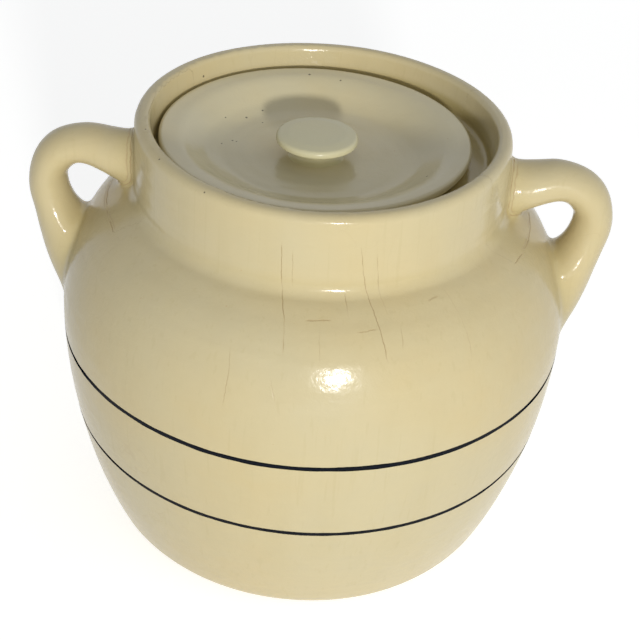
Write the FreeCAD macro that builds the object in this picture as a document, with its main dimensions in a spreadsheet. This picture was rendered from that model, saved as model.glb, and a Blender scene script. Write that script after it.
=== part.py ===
import FreeCAD, Part

import math
import os

import Sketcher

# Stoneware bean pot: a wheel-made pot with two loop handles, and a dished inset lid with a disc knob.
# Millimetres. The origin is the centre of the foot, +Z is up and the two handles lie along X.

doc = FreeCAD.newDocument("bean_pot")

# ---------------------------------------------------------------- driving sizes

SIZES = [
    ("lid_radius", 71.5, "outer radius of the lid"),
    ("lid_play", 4.7, "gap between the lid's edge and the gallery wall, with the lid in the middle"),
    ("lid_shift_x", -3.7, "how far off the middle the loose lid lies, along the handles"),
    ("lid_shift_y", 1.0, "how far off the middle the loose lid lies, front to back"),
    ("lid_edge", 6.5, "thickness of the lid's edge"),
    ("lid_edge_round", 2.0, "rounding of the lid's edge"),
    ("seat_gap", 0.3, "glaze gap between the lid and the ledge that it rests on"),
    ("seat_width", 12.0, "width of the flat ring under the lid that meets the ledge"),
    ("flange_width", 9.5, "width of the lid's nearly flat outer flange"),
    ("flange_fall", 1.1, "how far the flange falls towards the dish"),
    ("dish_slope_width", 16.0, "width of the sloping wall of the lid's dish"),
    ("dish_depth", 8.6, "depth of the dish below the inner side of the flange"),
    ("dish_round", 22.0, "radius of the bends of the dish wall"),
    ("dish_wall", 5.5, "thickness of the lid under the dish"),
    ("knob_radius", 18.7, "radius of the knob's disc"),
    ("knob_lift", 6.4, "finger gap between the dish and the underside of the disc's edge"),
    ("knob_edge", 3.6, "thickness of the disc's edge"),
    ("knob_edge_round", 1.6, "rounding of the disc's edge"),
    ("knob_dome", 1.3, "rise of the disc's top over its edge"),
    ("knob_underfall", 1.8, "fall of the disc's underside from its edge to the stem"),
    ("stem_radius", 10.0, "radius of the knob's stem at its waist"),
    ("stem_hollow", 0.9, "depth of the hollow curve round the stem"),
    ("lip_flare", 2.8, "how far the gallery wall opens from the ledge to the lip"),
    ("lip_thickness", 6.8, "thickness of the lip"),
    ("lip_round", 2.9, "rounding of the lip"),
    ("gallery_depth", 17.5, "depth of the ledge below the lip"),
    ("gallery_cove", 3.0, "radius of the cove between the ledge and the gallery wall"),
    ("ledge_width", 12.5, "width of the ledge that carries the lid"),
    ("ledge_edge", 4.0, "height of the ledge's inner edge"),
    ("ledge_taper", 9.0, "height of the slope under the ledge"),
    ("neck_rise", 16.4, "height of the ledge over the top of the shoulder's curve"),
    ("neck_flare", 0.9, "how far the neck widens from the lip to its foot"),
    ("neck_fillet", 4.0, "radius of the corner between neck and shoulder"),
    ("neck_wall", 8.2, "thickness of the neck below the ledge"),
    ("wall", 7.5, "thickness of the pot's wall"),
    ("floor_thickness", 9.0, "height of the pot's floor inside, over the table"),
    ("floor_round", 14.0, "radius inside the pot between wall and floor"),
    ("belly_swell", 34.3, "how far the belly stands out past the foot of the neck"),
    ("belly_height", 117.0, "height of the widest ring of the belly"),
    ("wall_arc", 276.0, "radius of the long curve from the foot to the belly"),
    ("shoulder_arc", 84.0, "radius of the shoulder's lower curve"),
    ("shoulder_turn", 30.0, "degrees that the shoulder's lower curve turns"),
    ("crown_arc", 47.0, "radius of the shoulder's upper curve"),
    ("foot_round", 13.0, "radius between the wall and the foot"),
    ("foot_ring_width", 9.0, "width of the flat ring that the pot stands on"),
    ("foot_recess", 2.5, "depth of the recess inside the foot ring"),
    ("handle_spread", 2.3, "how much wider than thick the handle is, to each side"),
    ("handle_drop", 23.8, "drop from the lip to the middle of the handle's top run"),
    ("handle_reach", 7.0, "how far the middle of the grip stands out past the belly"),
    ("handle_bend", 18.0, "radius of the handle's bend, at its middle"),
    ("grip_half", 9.2, "half the thickness of the grip"),
    ("neck_root_depth", 8.0, "how far inside the neck's face the handle's form starts"),
    ("neck_root_drop", 8.4, "drop of the neck root's middle below the top run"),
    ("neck_root_half", 16.4, "half the height of the neck root where the form starts"),
    ("neck_root_side", 12.6, "half the width of the neck root there"),
    ("neck_root_length", 13.5, "how far the neck root's flare reaches out from the neck"),
    ("neck_flare_drop", 2.0, "drop of the middle of the handle at the end of that flare"),
    ("neck_flare_half", 10.6, "half the thickness of the handle at the end of that flare"),
    ("crotch_height", 44.0, "height of the hole's lower end over the belly ring"),
    ("crotch_lean", 2.8, "how far the handle leans in there from the grip"),
    ("crotch_half", 10.6, "half the thickness of the handle there"),
    ("shoulder_root_height", 33.0, "height of the lower root's thickest section over the belly ring"),
    ("shoulder_root_depth", 1.2, "how far that section's middle lies inside the belly's radius"),
    ("shoulder_root_half", 13.6, "half the thickness of that section"),
    ("tail_height", 12.0, "height of the middle of the tail over the belly ring"),
    ("tail_depth", 4.2, "how far the tail's middle lies inside the belly's radius"),
    ("tail_half", 11.8, "half the thickness of the tail"),
    ("tip_drop", 10.0, "how far below the belly ring the handle's form ends, inside the wall"),
    ("tip_depth", 16.0, "how far the middle of that end lies inside the belly's radius"),
    ("tip_half", 9.0, "half the thickness of that end"),
]

dims = doc.addObject("Spreadsheet::Sheet", "dims")
for row, (alias, value, note) in enumerate(SIZES, start=1):
    dims.set("A%d" % row, alias)
    dims.set("B%d" % row, str(value))
    dims.set("C%d" % row, note)
    dims.setAlias("B%d" % row, alias)
doc.recompute()

# ---------------------------------------------------------------- sizes that follow from them

FOLLOWING = [
    ("gallery_radius", "dims.lid_radius + dims.lid_play"),
    ("lip_inner_radius", "layout.gallery_radius + dims.lip_flare"),
    ("lip_outer_radius", "layout.lip_inner_radius + dims.lip_thickness"),
    ("neck_radius", "layout.lip_outer_radius + dims.neck_flare"),
    ("neck_inner_radius", "layout.neck_radius - dims.neck_wall"),
    ("ledge_inner_radius", "layout.gallery_radius - dims.ledge_width"),
    ("belly_radius", "layout.neck_radius + dims.belly_swell"),
    ("shoulder_end_height", "dims.belly_height + dims.shoulder_arc * sin(dims.shoulder_turn)"),
    ("crown_height", "layout.shoulder_end_height + dims.crown_arc * (1 - sin(dims.shoulder_turn))"),
    ("ledge_height", "layout.crown_height + dims.neck_rise"),
    ("ledge_taper_top", "layout.ledge_height - dims.ledge_edge"),
    ("ledge_taper_foot", "layout.ledge_taper_top - dims.ledge_taper"),
    ("rim_height", "layout.ledge_height + dims.gallery_depth"),
    ("foot_flat_radius", "layout.belly_radius - dims.wall_arc"
     " + sqrt((dims.wall_arc - dims.foot_round)^2 - (dims.belly_height - dims.foot_round)^2)"),
    ("foot_ring_inner_radius", "layout.foot_flat_radius - dims.foot_ring_width"),
    ("foot_recess_radius", "layout.foot_ring_inner_radius - dims.foot_recess"),
    ("flange_rise", "dims.dish_wall + dims.dish_depth"),
    ("lid_edge_rise", "layout.flange_rise + dims.flange_fall"),
    ("seat_rise", "layout.lid_edge_rise - dims.lid_edge"),
    ("lid_base_height", "layout.ledge_height + dims.seat_gap - layout.seat_rise"),
    ("dish_rim_radius", "dims.lid_radius - dims.flange_width"),
    ("dish_floor_radius", "layout.dish_rim_radius - dims.dish_slope_width"),
    ("seat_inner_radius", "dims.lid_radius - dims.seat_width"),
    ("dish_under_radius", "layout.seat_inner_radius"
     " - layout.seat_rise * dims.dish_slope_width / dims.dish_depth"),
    ("stem_height", "dims.knob_lift - dims.knob_underfall"),
    ("stem_foot_radius", "dims.stem_radius + dims.stem_hollow"),
    ("waist_arc", "(layout.stem_height^2 / 4 + dims.stem_hollow^2) / (2 * dims.stem_hollow)"),
    ("knob_edge_height", "dims.knob_lift + dims.knob_edge"),
    ("knob_height", "layout.knob_edge_height + dims.knob_dome"),
    ("dome_arc", "(dims.knob_radius^2 + dims.knob_dome^2) / (2 * dims.knob_dome)"),
    ("handle_height", "layout.rim_height - dims.handle_drop"),
    ("grip_offset", "layout.belly_radius + dims.handle_reach"),
]

layout = doc.addObject("App::VarSet", "layout")
for name, formula in FOLLOWING:
    layout.addProperty("App::PropertyFloat", name)
    layout.setExpression(name, formula)
doc.recompute()


def size(name):
    """A driving size, or one that follows from the driving sizes, as a number."""
    if name in layout.PropertiesList:
        return getattr(layout, name)
    return float(dims.get(name))


# ---------------------------------------------------------------- sketch helpers

START, END, CENTRE = 1, 2, 3
ORIGIN = (-1, 1)


def origin_feature(body, role):
    return next(feature for feature in body.Origin.OriginFeatures if feature.Role == role)


def half_section_sketch(body, name):
    """A sketch on the body's YZ plane: its X is the radius and its Y is the height."""
    sketch = body.newObject("Sketcher::SketchObject", name)
    sketch.AttachmentSupport = [(origin_feature(body, "YZ_Plane"), "")]
    sketch.MapMode = "FlatFace"
    return sketch


def add_line(sketch, start, end):
    line = Part.LineSegment(FreeCAD.Vector(*start, 0), FreeCAD.Vector(*end, 0))
    return sketch.addGeometry(line, False)


def add_arc(sketch, centre, radius, start_angle, end_angle):
    circle = Part.Circle(FreeCAD.Vector(*centre, 0), FreeCAD.Vector(0, 0, 1), radius)
    return sketch.addGeometry(Part.ArcOfCircle(circle, start_angle, end_angle), False)


def join(sketch, first, first_end, second, second_end):
    sketch.addConstraint(Sketcher.Constraint("Coincident", first, first_end, second, second_end))


def bind(sketch, kind, places, formula, start_value):
    """A dimension that takes its value from an expression over the sheet."""
    index = sketch.addConstraint(Sketcher.Constraint(kind, *places, start_value))
    sketch.setExpression("Constraints[%d]" % index, formula)


def place_point(sketch, geometry, end, across, up):
    """Hold a point at a radius and a height, each an (expression, value) pair, or None where it is free."""
    for kind, pair in (("DistanceX", across), ("DistanceY", up)):
        if pair is not None:
            bind(sketch, kind, ORIGIN + (geometry, end), *pair)


def named(name):
    """A size as the (expression, value) pair that place_point takes."""
    owner = "layout" if name in layout.PropertiesList else "dims"
    return ("%s.%s" % (owner, name), size(name))


def outline(sketch, corners):
    """A closed outline of straight sides. Each corner is a pair of sizes, and None stands for zero."""
    points = [(c[0][1] if c[0] else 0.0, c[1][1] if c[1] else 0.0) for c in corners]
    count = len(points)
    lines = [add_line(sketch, points[i], points[(i + 1) % count]) for i in range(count)]
    for i in range(count):
        join(sketch, lines[i], END, lines[(i + 1) % count], START)
    for line, (across, up) in zip(lines, corners):
        if across is None and up is None:
            join(sketch, line, START, *ORIGIN)
            continue
        if across is None:
            sketch.addConstraint(Sketcher.Constraint("PointOnObject", line, START, -2))
        if up is None:
            sketch.addConstraint(Sketcher.Constraint("PointOnObject", line, START, -1))
        place_point(sketch, line, START, across, up)
    return lines


def turn(body, kind, sketch, name):
    """Turn a half section a full circle about the axis: a Revolution adds, a Groove cuts."""
    feature = body.newObject("PartDesign::" + kind, name)
    feature.Profile = sketch
    feature.ReferenceAxis = (sketch, ["V_Axis"])
    feature.Angle = 360
    sketch.Visibility = False
    doc.recompute()
    return feature


def ring_edges(shape, radius, height):
    """The names of the round edges about the axis at one radius and height."""
    names = []
    for number, edge in enumerate(shape.Edges, start=1):
        if edge.Degenerated or not isinstance(edge.Curve, Part.Circle):
            continue
        curve = edge.Curve
        if abs(curve.Radius - radius) < 0.01 and abs(curve.Center.z - height) < 0.01:
            names.append("Edge%d" % number)
    return names


def round_ring(body, name, rings, formula):
    """Round the edges of the body's last feature that lie on the given rings."""
    base = body.Tip
    edges = [edge for radius, height in rings for edge in ring_edges(base.Shape, radius, height)]
    if not edges:
        raise RuntimeError("no edge to round for " + name)
    fillet = body.newObject("PartDesign::Fillet", name)
    fillet.Base = (base, edges)
    fillet.setExpression("Radius", formula)
    doc.recompute()
    return fillet


# ---------------------------------------------------------------- pot

def pot_curve_sketch(body, name, inset, base):
    """The pot's curved side from a base height up to the neck, as three arcs in a row.

    inset is None for the outside, or the name of the wall thickness that sets the inside back from it.
    Returns the sketch, its lowest and highest arcs, the point where it meets the neck and its base point.
    """
    sketch = half_section_sketch(body, name)
    less = " - dims." + inset if inset else ""
    thickness = size(inset) if inset else 0.0
    neck = named("neck_inner_radius" if inset else "neck_radius")
    belly_radius = size("belly_radius") - thickness
    belly_height = size("belly_height")
    wall_arc = size("wall_arc") - thickness
    shoulder_arc = size("shoulder_arc") - thickness
    crown_arc = size("crown_arc") - thickness
    turned = math.radians(size("shoulder_turn"))

    shoulder_axis = (belly_radius - shoulder_arc, belly_height)
    crown_axis = (shoulder_axis[0] + (shoulder_arc - crown_arc) * math.cos(turned),
                  shoulder_axis[1] + (shoulder_arc - crown_arc) * math.sin(turned))
    crown_turned = math.acos((neck[1] - crown_axis[0]) / crown_arc)
    crown_end = (neck[1], crown_axis[1] + crown_arc * math.sin(crown_turned))
    base_turned = math.asin((base[1] - belly_height) / wall_arc)
    base_point = (belly_radius - wall_arc + wall_arc * math.cos(base_turned), base[1])

    side = add_arc(sketch, (belly_radius - wall_arc, belly_height), wall_arc, base_turned, 0)
    shoulder = add_arc(sketch, shoulder_axis, shoulder_arc, 0, turned)
    crown = add_arc(sketch, crown_axis, crown_arc, turned, crown_turned)
    join(sketch, side, END, shoulder, START)
    sketch.addConstraint(Sketcher.Constraint("Horizontal", side, CENTRE, side, END))
    sketch.addConstraint(Sketcher.Constraint("Horizontal", shoulder, CENTRE, shoulder, START))
    sketch.addConstraint(Sketcher.Constraint("Tangent", shoulder, END, crown, START))
    place_point(sketch, side, END, ("layout.belly_radius" + less, belly_radius), named("belly_height"))
    bind(sketch, "Radius", (side,), "dims.wall_arc" + less, wall_arc)
    bind(sketch, "Radius", (shoulder,), "dims.shoulder_arc" + less, shoulder_arc)
    bind(sketch, "Radius", (crown,), "dims.crown_arc" + less, crown_arc)
    shoulder_end = belly_height + shoulder_arc * math.sin(turned)
    rise = "dims.belly_height + (dims.shoulder_arc%s) * sin(dims.shoulder_turn)" % less
    place_point(sketch, shoulder, END, None, (rise, shoulder_end))
    place_point(sketch, crown, END, neck, None)
    return sketch, side, crown, crown_end, base_point


def close_to_axis(sketch, side, base_point, last_line, top_point):
    """Close an outline with a level top, the axis and a level base."""
    top = add_line(sketch, top_point, (0, top_point[1]))
    axis = add_line(sketch, (0, top_point[1]), (0, base_point[1]))
    base = add_line(sketch, (0, base_point[1]), base_point)
    join(sketch, last_line, END, top, START)
    join(sketch, top, END, axis, START)
    join(sketch, axis, END, base, START)
    join(sketch, base, END, side, START)
    for line in (top, base):
        sketch.addConstraint(Sketcher.Constraint("Horizontal", line))
    for end in (START, END):
        sketch.addConstraint(Sketcher.Constraint("PointOnObject", axis, end, -2))


def add_outer_form(body):
    """The filled outside of the pot: foot, belly, shoulder and neck, without its lip's rounding."""
    outline_name = body.Label + "_outside"
    sketch, side, crown, crown_end, base_point = pot_curve_sketch(body, outline_name, None, ("0", 0.0))
    lip = (size("lip_outer_radius"), size("rim_height"))
    neck = add_line(sketch, crown_end, lip)
    join(sketch, crown, END, neck, START)
    place_point(sketch, neck, END, named("lip_outer_radius"), named("rim_height"))
    close_to_axis(sketch, side, base_point, neck, lip)
    sketch.addConstraint(Sketcher.Constraint("PointOnObject", side, START, -1))
    turn(body, "Revolution", sketch, body.Label + "_form")
    round_ring(body, body.Label + "_neck_corner", [crown_end], "dims.neck_fillet")
    round_ring(body, body.Label + "_foot_corner", [base_point], "dims.foot_round")


def cut_cavity(body):
    """The inside: floor, wall, shoulder, the neck, and the slope up to the ledge's inner edge."""
    floor = named("floor_thickness")
    sketch, side, crown, crown_end, base_point = pot_curve_sketch(body, "cavity_outline", "wall", floor)
    taper_foot = named("ledge_taper_foot")
    taper_top = named("ledge_taper_top")
    throat = size("ledge_inner_radius")
    rim = size("rim_height")
    neck = add_line(sketch, crown_end, (crown_end[0], taper_foot[1]))
    taper = add_line(sketch, (crown_end[0], taper_foot[1]), (throat, taper_top[1]))
    opening = add_line(sketch, (throat, taper_top[1]), (throat, rim))
    join(sketch, crown, END, neck, START)
    join(sketch, neck, END, taper, START)
    join(sketch, taper, END, opening, START)
    sketch.addConstraint(Sketcher.Constraint("Vertical", neck))
    sketch.addConstraint(Sketcher.Constraint("Vertical", opening))
    place_point(sketch, neck, END, None, taper_foot)
    place_point(sketch, taper, END, named("ledge_inner_radius"), taper_top)
    place_point(sketch, opening, END, None, named("rim_height"))
    close_to_axis(sketch, side, base_point, opening, (throat, rim))
    place_point(sketch, side, START, None, floor)
    turn(body, "Groove", sketch, "cavity")
    round_ring(body, "cavity_floor_corner", [base_point], "dims.floor_round")


def cut_gallery(body):
    """The open top with the ledge that the lid rests on, and the rounded lip."""
    sketch = half_section_sketch(body, "gallery_outline")
    outline(sketch, [
        (None, named("ledge_height")),
        (named("gallery_radius"), named("ledge_height")),
        (named("lip_inner_radius"), named("rim_height")),
        (None, named("rim_height")),
    ])
    turn(body, "Groove", sketch, "gallery")
    ledge = size("ledge_height")
    rim = size("rim_height")
    round_ring(body, "gallery_cove", [(size("gallery_radius"), ledge)], "dims.gallery_cove")
    lip_edges = [(size("lip_inner_radius"), rim), (size("lip_outer_radius"), rim)]
    round_ring(body, "lip", lip_edges, "min(dims.lip_round; 0.47 * dims.lip_thickness)")


def cut_foot_recess(body):
    """The shallow recess that leaves a flat ring to stand on."""
    sketch = half_section_sketch(body, "foot_recess_outline")
    outline(sketch, [
        (None, None),
        (named("foot_ring_inner_radius"), None),
        (named("foot_recess_radius"), named("foot_recess")),
        (None, named("foot_recess")),
    ])
    turn(body, "Groove", sketch, "foot_recess_cut")


def make_body(label):
    body = doc.addObject("PartDesign::Body", label)
    body.Label = label
    return body


def make_pot():
    body = make_body("pot_body")
    add_outer_form(body)
    cut_cavity(body)
    cut_gallery(body)
    cut_foot_recess(body)
    return body


# ---------------------------------------------------------------- handles

def draw_half_oval(sketch, side, height, first_half):
    """Half of an ellipse round the sketch's origin, over or under its level axis.

    side and height are its two half axes, each an (expression, value) pair.
    """
    upright = height[1] > side[1]
    side_end = FreeCAD.Vector(side[1], 0, 0)
    height_end = FreeCAD.Vector(0, height[1], 0)
    centre = FreeCAD.Vector(0, 0, 0)
    if upright:
        ellipse = Part.Ellipse(height_end, -side_end, centre)
    else:
        ellipse = Part.Ellipse(side_end, height_end, centre)
    start = (-0.5 if upright else 0.0) + (0.0 if first_half else 1.0)
    arc = sketch.addGeometry(Part.ArcOfEllipse(ellipse, start * math.pi, (start + 1) * math.pi), False)
    sketch.exposeInternalGeometry(arc)
    long_axis, short_axis = arc + 1, arc + 2
    join(sketch, arc, CENTRE, *ORIGIN)
    sketch.addConstraint(Sketcher.Constraint("Vertical" if upright else "Horizontal", long_axis))
    for axis, (formula, value) in zip((long_axis, short_axis), (height, side) if upright else (side, height)):
        bind(sketch, "Distance", (axis,), "2 * (%s)" % formula, 2 * value)
    for end in (START, END):
        sketch.addConstraint(Sketcher.Constraint("PointOnObject", arc, end, -1))


def handle_section(name, across, up, half, tilt, side=None):
    """One oval section of the right handle, its plane turned down by a tilt from facing outwards.

    half names its half height, and side its half width, where that isn't half plus the handle's spread.
    """
    section = doc.addObject("Sketcher::SketchObject", name)
    height_pair = named(half)
    if side:
        side_pair = named(side)
    else:
        side_pair = ("dims.%s + dims.handle_spread" % half, size(half) + size("handle_spread"))
    draw_half_oval(section, side_pair, height_pair, True)
    draw_half_oval(section, side_pair, height_pair, False)
    upright = FreeCAD.Rotation(FreeCAD.Vector(1, 1, 1), 120)
    turned_down = FreeCAD.Rotation(FreeCAD.Vector(0, 1, 0), tilt)
    section.Placement = FreeCAD.Placement(FreeCAD.Vector(0, 0, 0), turned_down.multiply(upright))
    section.setExpression("Placement.Base.x", across)
    section.setExpression("Placement.Base.z", up)
    return section


def handle_sections():
    """The handle's sections in order, from inside the neck, round the grip, down into the belly's wall."""
    bend_in = "dims.handle_bend * (1 - cos(45))"
    return [
        handle_section("neck_root", "layout.neck_radius - dims.neck_root_depth",
                       "layout.handle_height - dims.neck_root_drop", "neck_root_half", 0,
                       side="neck_root_side"),
        handle_section("neck_flare_end", "layout.neck_radius + dims.neck_root_length",
                       "layout.handle_height - dims.neck_flare_drop", "neck_flare_half", 0),
        handle_section("top_run_end", "layout.grip_offset - dims.handle_bend",
                       "layout.handle_height", "grip_half", 0),
        handle_section("bend", "layout.grip_offset - " + bend_in,
                       "layout.handle_height - " + bend_in, "grip_half", 45),
        handle_section("grip", "layout.grip_offset",
                       "layout.handle_height - dims.handle_bend", "grip_half", 90),
        handle_section("crotch", "layout.grip_offset - dims.crotch_lean",
                       "dims.belly_height + dims.crotch_height", "crotch_half", 90),
        handle_section("shoulder_root", "layout.belly_radius - dims.shoulder_root_depth",
                       "dims.belly_height + dims.shoulder_root_height", "shoulder_root_half", 90),
        handle_section("tail", "layout.belly_radius - dims.tail_depth",
                       "dims.belly_height + dims.tail_height", "tail_half", 90),
        handle_section("tip", "layout.belly_radius - dims.tip_depth",
                       "dims.belly_height - dims.tip_drop", "tip_half", 90),
    ]


def make_handle_form():
    loft = doc.addObject("Part::Loft", "handle_form")
    loft.Sections = handle_sections()
    loft.Solid = True
    loft.MaxDegree = 3
    doc.recompute()
    return loft


def trim_to_pot(label, form, pot_form):
    """A handle ends where it meets the outside of the pot, face to face."""
    handle = doc.addObject("Part::Cut", label)
    handle.Label = label
    handle.Base = form
    handle.Tool = pot_form
    doc.recompute()
    return handle


def make_handles():
    pot_form = make_body("pot_form")
    add_outer_form(pot_form)
    right_form = make_handle_form()
    left_form = doc.addObject("Part::Mirroring", "left_handle_form")
    left_form.Source = right_form
    left_form.Normal = FreeCAD.Vector(1, 0, 0)
    doc.recompute()
    right = trim_to_pot("right_handle", right_form, pot_form)
    left = trim_to_pot("left_handle", left_form, pot_form)
    return [left, right]


# ---------------------------------------------------------------- lid and knob

def place_on_lid_axis(body, height):
    body.setExpression("Placement.Base.x", "dims.lid_shift_x")
    body.setExpression("Placement.Base.y", "dims.lid_shift_y")
    body.setExpression("Placement.Base.z", height)
    doc.recompute()


def make_lid():
    """A flange that rests on the ledge, and a dish inside it. Its base is the underside of the dish."""
    body = make_body("lid")
    sketch = half_section_sketch(body, "lid_outline")
    outline(sketch, [
        (None, None),
        (named("dish_under_radius"), None),
        (named("seat_inner_radius"), named("seat_rise")),
        (named("lid_radius"), named("seat_rise")),
        (named("lid_radius"), named("lid_edge_rise")),
        (named("dish_rim_radius"), named("flange_rise")),
        (named("dish_floor_radius"), named("dish_wall")),
        (None, named("dish_wall")),
    ])
    turn(body, "Revolution", sketch, "lid_turned")
    bends = [
        (size("dish_rim_radius"), size("flange_rise")),
        (size("dish_floor_radius"), size("dish_wall")),
        (size("dish_under_radius"), 0),
    ]
    round_ring(body, "dish_bends", bends, "dims.dish_round")
    edges = [(size("lid_radius"), size("seat_rise")), (size("lid_radius"), size("lid_edge_rise"))]
    round_ring(body, "lid_edge_rounding", edges, "min(dims.lid_edge_round; 0.47 * dims.lid_edge)")
    place_on_lid_axis(body, "layout.lid_base_height")
    return body


def make_knob():
    """A waisted stem and a domed disc, turned in one piece. It stands on the floor of the dish."""
    body = make_body("lid_knob")
    sketch = half_section_sketch(body, "knob_outline")
    waist_axis = (size("stem_radius") + size("waist_arc"), size("stem_height") / 2)
    waist_turn = math.asin(waist_axis[1] / size("waist_arc"))
    stem_top = (size("stem_foot_radius"), size("stem_height"))
    edge_foot = (size("knob_radius"), size("knob_lift"))
    edge_top = (size("knob_radius"), size("knob_edge_height"))
    top = size("knob_height")
    dome_axis = top - size("dome_arc")
    dome_start = math.acos(size("knob_radius") / size("dome_arc"))

    foot = add_line(sketch, (0, 0), (stem_top[0], 0))
    waist = add_arc(sketch, waist_axis, size("waist_arc"), math.pi - waist_turn, math.pi + waist_turn)
    under = add_line(sketch, stem_top, edge_foot)
    edge = add_line(sketch, edge_foot, edge_top)
    dome = add_arc(sketch, (0, dome_axis), size("dome_arc"), dome_start, math.pi / 2)
    axis = add_line(sketch, (0, top), (0, 0))
    join(sketch, foot, END, waist, END)
    join(sketch, waist, START, under, START)
    join(sketch, under, END, edge, START)
    join(sketch, edge, END, dome, START)
    join(sketch, dome, END, axis, START)
    join(sketch, axis, END, foot, START)
    join(sketch, foot, START, *ORIGIN)
    sketch.addConstraint(Sketcher.Constraint("Horizontal", foot))
    sketch.addConstraint(Sketcher.Constraint("Vertical", axis))
    sketch.addConstraint(Sketcher.Constraint("PointOnObject", dome, CENTRE, -2))
    bind(sketch, "Radius", (waist,), "layout.waist_arc", size("waist_arc"))
    place_point(sketch, foot, END, named("stem_foot_radius"), None)
    place_point(sketch, waist, START, named("stem_foot_radius"), named("stem_height"))
    place_point(sketch, edge, START, named("knob_radius"), named("knob_lift"))
    place_point(sketch, edge, END, named("knob_radius"), named("knob_edge_height"))
    place_point(sketch, axis, START, None, named("knob_height"))
    turn(body, "Revolution", sketch, "knob_turned")
    round_ring(body, "knob_edge_rounding", [edge_foot, edge_top],
               "min(dims.knob_edge_round; 0.47 * dims.knob_edge)")
    place_on_lid_axis(body, "layout.lid_base_height + dims.dish_wall")
    return body


# ---------------------------------------------------------------- build, check and write

def check(parts):
    for thing in doc.Objects:
        bad = [state for state in thing.State if state in ("Invalid", "Error")]
        if bad:
            raise RuntimeError("%s did not build: %s" % (thing.Name, bad))
    for part in parts:
        shape = part.Shape
        if shape.isNull() or not shape.isValid() or len(shape.Solids) != 1:
            raise RuntimeError("%s is not one valid solid" % part.Label)


def write(parts):
    os.makedirs("parts", exist_ok=True)
    for part in parts:
        part.Shape.exportStep("parts/%s.step" % part.Label)
        box = part.Shape.optimalBoundingBox()
        limits = (box.XMin, box.XMax, box.YMin, box.YMax, box.ZMin, box.ZMax)
        print("%-14s %8.1f cm3   " % (part.Label, part.Shape.Volume / 1000)
              + "x %7.1f %7.1f   y %7.1f %7.1f   z %6.1f %6.1f" % limits)


parts = [make_pot()] + make_handles() + [make_lid(), make_knob()]
doc.recompute()
check(parts)
write(parts)
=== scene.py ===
import math

import bpy
import numpy as np
from mathutils import Matrix, Vector


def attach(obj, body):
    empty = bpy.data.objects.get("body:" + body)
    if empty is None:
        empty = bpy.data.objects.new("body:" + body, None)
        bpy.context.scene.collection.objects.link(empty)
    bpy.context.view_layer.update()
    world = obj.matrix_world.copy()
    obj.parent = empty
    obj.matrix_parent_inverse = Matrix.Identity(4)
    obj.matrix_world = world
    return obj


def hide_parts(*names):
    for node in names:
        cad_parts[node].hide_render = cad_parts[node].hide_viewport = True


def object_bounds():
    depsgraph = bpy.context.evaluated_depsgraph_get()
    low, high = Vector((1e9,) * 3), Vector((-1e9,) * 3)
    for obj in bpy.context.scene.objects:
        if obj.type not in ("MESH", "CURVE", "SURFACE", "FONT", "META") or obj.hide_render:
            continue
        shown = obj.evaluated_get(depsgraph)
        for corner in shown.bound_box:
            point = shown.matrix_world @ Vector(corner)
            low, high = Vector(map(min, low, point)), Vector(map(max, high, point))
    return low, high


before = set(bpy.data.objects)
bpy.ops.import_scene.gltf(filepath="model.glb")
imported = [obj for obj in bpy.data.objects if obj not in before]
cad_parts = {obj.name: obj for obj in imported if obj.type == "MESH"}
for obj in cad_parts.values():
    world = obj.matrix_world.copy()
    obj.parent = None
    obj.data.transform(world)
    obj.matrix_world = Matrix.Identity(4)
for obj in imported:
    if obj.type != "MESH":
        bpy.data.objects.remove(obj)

# Looks of the stoneware bean pot. The pot and its handles are one soft skin: two half sections and the
# handles make a field that is below zero in the clay, and a mesh is laid where it is zero. The bands lie on
# that skin, and lid and knob are turned on a lathe. All of it is worked out in millimetres, in the CAD's own
# frame, and is turned into metres when a mesh is made. Places in a material are in metres.

CAD_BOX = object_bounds()
MM = 0.001

# ---------------------------------------------------------------- the pot's two half sections, in mm

FOOT_RECESS = [(0.0, 2.5), (75.06, 2.5), (77.56, 0.0)]
NECK_FOOT = (86.7, 179.06)      # where neck and shoulder would meet without their corner's rounding
LIP_TOP = (85.8, 216.4)         # outer edge of the lip without its rounding
RIM_HEIGHT = 216.4
BELLY_HEIGHT = 117.0
SIDE_AXIS = (-155.0, 117.0)
SIDE_ARC = 276.0
SHOULDER_AXIS = (37.0, 117.0)
SHOULDER_ARC = 84.0
CROWN_ARC = 47.0
SHOULDER_TURN = math.radians(30)
FOOT_ROUND = 21.0
NECK_CORNER = 7.0
LIP_ROUND = 2.9
LIP_OUTSIDE = 3.8
LIP_DROP = 3.6                  # how much lower the lip was left at the front
NECK_DROP = 2.6                 # and the foot of the neck
LIP_LEAN = 1.5                  # how much lower the lip is towards the right and the back
LEAN_TURN = (0.82, 0.57)
NECK_COMES_IN = (152.0, 180.0)  # the heights over which the neck's drop,
LIP_COMES_IN = (198.0, 211.0)   # the lip's further drop
RIM_COMES_IN = (200.0, 211.0)   # and its lean, with the drop of its inner edge, come in
WALL = 7.5
FLOOR = 9.0
FLOOR_ROUND = 14.0
NECK_INSIDE = 78.5
NECK_TOP = 185.9                # where the neck's inside ends and the ledge's underside begins
LEDGE_EDGE = 63.7
LEDGE_UNDERSIDE = 194.9
LEDGE_HEIGHT = 198.9
GALLERY_FOOT = 76.2
GALLERY_TOP = 79.0
GALLERY_COVE = 3.0
OPEN_ABOVE = 30.0               # the hollow runs on this far above the rim

CROWN_AXIS = (SHOULDER_AXIS[0] + (SHOULDER_ARC - CROWN_ARC) * math.cos(SHOULDER_TURN),
              SHOULDER_AXIS[1] + (SHOULDER_ARC - CROWN_ARC) * math.sin(SHOULDER_TURN))


def arc(centre, radius, start, end):
    return ("arc", centre, radius, start, end)


def line(start, end):
    return ("line", start, end)


def on_circle(centre, radius, angle):
    return (centre[0] + radius * math.cos(angle), centre[1] + radius * math.sin(angle))


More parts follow.
